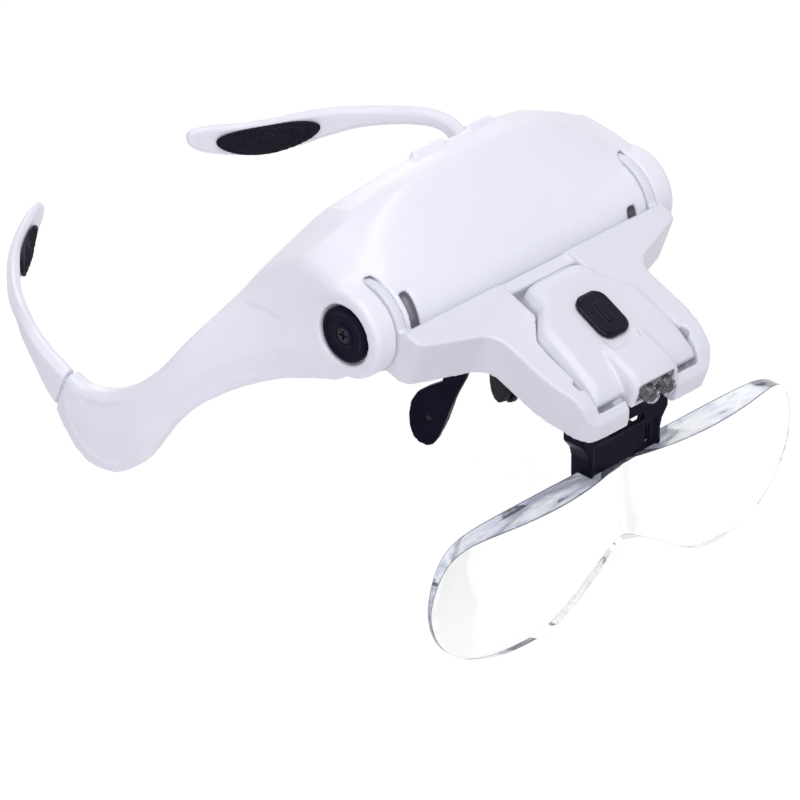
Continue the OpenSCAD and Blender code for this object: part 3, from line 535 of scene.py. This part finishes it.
def press_panels(piece):
    """Moves the outer face of the side arms inwards inside the panel's outline."""
    form = bmesh.new()
    form.from_mesh(piece.data)
    form.normal_update()
    for vert in form.verts:
        x, y, z = vert.co / MM
        if abs(x) < ARM_INSIDE or vert.normal.x * x < ARM_FACING * abs(x):
            continue
        edge = smooth_step(0, PANEL_EDGE, distance_inside(y, z, PANEL))
        depth = edge * PANEL_DEPTH * smooth_step(PANEL_START, PANEL_FULL, y)
        vert.co.x -= math.copysign(depth * MM, x)
    form.to_mesh(piece.data)
    form.free()


# The rings of a temple pad: how much of the pad they cover, their height and their pitch, and how much
# a point has to face the head
RING_COVER = 0.84
RING_HEIGHT = 0.2 * MM
RING_PITCH = 1.5 * MM
RING_FACING = 0.6


def raise_rings(piece, node):
    """Raises rings inside a smooth rim, on the side of a temple pad that touches the head."""
    low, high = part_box(node)
    centre = (low + high) / 2
    side = 1 if centre.x > 0 else -1
    along = Vector((-side * (high.x - low.x), high.y - low.y, 0))
    reach = along.length / 2
    along.normalize()
    inward = Vector((-side * along.y, -abs(along.x), 0))
    form = bmesh.new()
    form.from_mesh(piece.data)
    form.normal_update()
    for vert in form.verts:
        offset = vert.co - centre
        across = offset.z / (high.z - low.z) * 2
        covered = math.hypot(offset.dot(along) / reach, across) < RING_COVER
        if covered and vert.normal.dot(inward) > RING_FACING:
            ring = math.hypot(offset.dot(along), offset.z)
            vert.co += vert.normal * (RING_HEIGHT * math.sin(ring * 2 * math.pi / RING_PITCH))
    form.to_mesh(piece.data)
    form.free()


# The way the lens faces, how little a face of its rim does so, and the chamfer along the rim
LENS_NORMAL = Vector((0, -1, 0))
RIM_FACING = 0.6
LENS_CHAMFER = 0.35 * MM


def clear_lens():
    """The lens, its rim chamfered, given the polished edge with its painted reflections and shade, and
    unwrapped from back to front.
    """
    mesh = dressed("lens", ACRYLIC, LENS_ANGLE).data
    mesh.materials.append(EDGE)
    form = bmesh.new()
    form.from_mesh(mesh)
    layer = form.loops.layers.uv.new("rim")
    rim = {face for face in form.faces if abs(face.normal.dot(LENS_NORMAL)) < RIM_FACING}
    border = [edge for edge in form.edges if len(rim.intersection(edge.link_faces)) == 1]
    for face in rim:
        face.material_index = 1
    chamfer = bmesh.ops.bevel(form, geom=border, offset=LENS_CHAMFER, segments=1, profile=0.5,
                              affect="EDGES", clamp_overlap=True, material=-1)
    for face in chamfer["faces"]:
        face.material_index = 1
    back = max(vert.co.y for vert in form.verts)
    for face in form.faces:
        if face.material_index == 1:
            for loop in face.loops:
                side = 1.0 if back - loop.vert.co.y > 2 * LENS_CHAMFER else 0.0
                loop[layer].uv = (side, side)
    form.to_mesh(mesh)
    form.free()


def finished(names, material):
    """Gives its finish to each node that keeps its own mesh."""
    for name in names:
        mesh = nodes[name].data
        mesh.materials.clear()
        mesh.materials.append(material)


# Each moulding with its finish, its slot, the cell of its even mesh in millimetres and its passes
MOULDINGS = [
    ("frame_shell", SHELL, "white_plastic", 0.62, 3),
    ("lens_arm", ARM_SHADED_WHITE, "white_plastic", 0.55, 4),
    ("lamp_cover", ARM_SHADED_WHITE, "white_plastic", 0.4, 4),
    ("lamp_base", ARM_SHADED_WHITE, "white_plastic", 0.3, 3),
    ("forehead_cover", WHITE, "white_plastic", 0.45, 3),
    ("battery_door", WHITE, "white_plastic", 0.4, 3),
    ("temple_arm_right", WHITE, "white_plastic", 0.4, 4),
    ("temple_arm_left", WHITE, "white_plastic", 0.4, 4),
    ("lens_clip", BLACK, "black_plastic", 0.3, 3),
    ("nose_bracket", BLACK, "black_plastic", 0.3, 3),
    ("pivot_cap_right", BLACK, "black_plastic", 0.2, 3),
    ("pivot_cap_left", BLACK, "black_plastic", 0.2, 3),
    ("switch_slider", GLOSS, "black_plastic", 0.15, 4),
    ("nose_pad_right", RUBBER, "black_rubber", 0.22, 4),
    ("nose_pad_left", RUBBER, "black_rubber", 0.22, 4),
    ("temple_pad_right", RUBBER, "black_rubber", 0.26, 3),
    ("temple_pad_left", RUBBER, "black_rubber", 0.26, 3),
]

pieces = {}
for node, finish, slot, cell, passes in MOULDINGS:
    pieces[node] = moulded(node, finish, cell, passes)
press_panels(pieces["frame_shell"])
for node in ("temple_pad_right", "temple_pad_left"):
    raise_rings(pieces[node], node)
for node in ("cover_screws", "lamp_screws", "door_hinge_pin", "battery_contacts"):
    dressed(node, STEEL)
for node in ("pivot_screws", "nose_pad_pins"):
    dressed(node, DARK_STEEL)
dressed("lamp_hinge_pins", GREY_STEEL)
clear_lens()
dressed("leds", RESIN)
dressed("led_window", SMOKE)
finished(["battery_tray", "switch_body"], DARK)
finished(["battery_cells"], CELL)
finished(["circuit_board"], BOARD)


# Studio

# The floor: its colour, its reach from the middle and its gap below the part, in metres
FLOOR_TINT = (0.95, 0.95, 0.95, 1)
FLOOR_REACH = 6
FLOOR_GAP = 0.5 * MM
# The strength of the white that the camera sees there, and how much of it is mixed over the shadow
FLOOR_GLOW = 1.07
FLOOR_COVER = 0.88

# The colour and the strength of the light from all round
WORLD_TINT = (0.82, 0.82, 1.0, 1)
WORLD_STRENGTH = 0.33
PURE_WHITE = (1, 1, 1, 1)

# The rays that see the background as white
SEEN_RAYS = ("Is Camera Ray", "Is Glossy Ray", "Is Transmission Ray")

# Each light's name, place, aim, width and length in metres, and power in watts
LIGHTS = [
    ("overhead", (-0.2, -0.4, 1.1), (0, 0.05, -0.05), (1.0, 1.0), 9.1),
    ("left", (-0.9, -0.7, 0.75), (0, 0.03, -0.05), (0.6, 0.7), 3.4),
    ("rear", (0.6, 1.0, 0.7), (0, 0.03, -0.05), (0.8, 0.6), 3.4),
]


def seen_directly(shading):
    """One for rays from the camera, in gloss and through glass, and nought for the rest."""
    path = shading.node("ShaderNodeLightPath", {}, {})
    share, *others = (Value(shading, path.outputs[name]) for name in SEEN_RAYS)
    for other in others:
        share = share.join("MAXIMUM", share, other)
    return share


def floor_white():
    """A pale floor that reads as white and keeps a faint shadow."""
    finish = Finish("floor_white", Base_Color=FLOOR_TINT, Roughness=0.9, Specular_IOR_Level=0.0)
    glow = finish.node("ShaderNodeEmission", {}, {"Strength": FLOOR_GLOW})
    finish.blended(seen_directly(finish) * FLOOR_COVER, finish.shader, glow, "Material Output")
    return finish.material


def make_floor():
    form = bmesh.new()
    bmesh.ops.create_grid(form, x_segments=1, y_segments=1, size=FLOOR_REACH)
    bmesh.ops.translate(form, verts=form.verts, vec=(0, 0, cad_box[0].z - FLOOR_GAP))
    mesh = bpy.data.meshes.new("floor")
    form.to_mesh(mesh)
    form.free()
    mesh.materials.append(floor_white())
    floor = bpy.data.objects.new("floor", mesh)
    bpy.context.scene.collection.objects.link(floor)


def make_world():
    """Even light from all round, and a background that is seen as white."""
    world = bpy.data.worlds.new("studio")
    bpy.context.scene.world = world
    shading = Shading(world)
    light = shading.tree.nodes["Background"]
    light.inputs["Color"].default_value = WORLD_TINT
    light.inputs["Strength"].default_value = WORLD_STRENGTH
    seen = shading.node("ShaderNodeBackground", {}, {"Color": PURE_WHITE})
    shading.blended(seen_directly(shading), light, seen, "World Output")


def soft_light(name, place, aim, size, power):
    """A rectangular light of the given size and power, turned from its place towards its aim."""
    lamp = bpy.data.lights.new(name, "AREA")
    lamp.shape = "RECTANGLE"
    lamp.size, lamp.size_y = size
    lamp.energy = power
    light = bpy.data.objects.new(name, lamp)
    bpy.context.scene.collection.objects.link(light)
    way = Vector(aim) - Vector(place)
    turn = way.to_track_quat("-Z", "Y").to_matrix().to_4x4()
    light.matrix_world = Matrix.Translation(place) @ turn


make_floor()
make_world()
for row in LIGHTS:
    soft_light(*row)
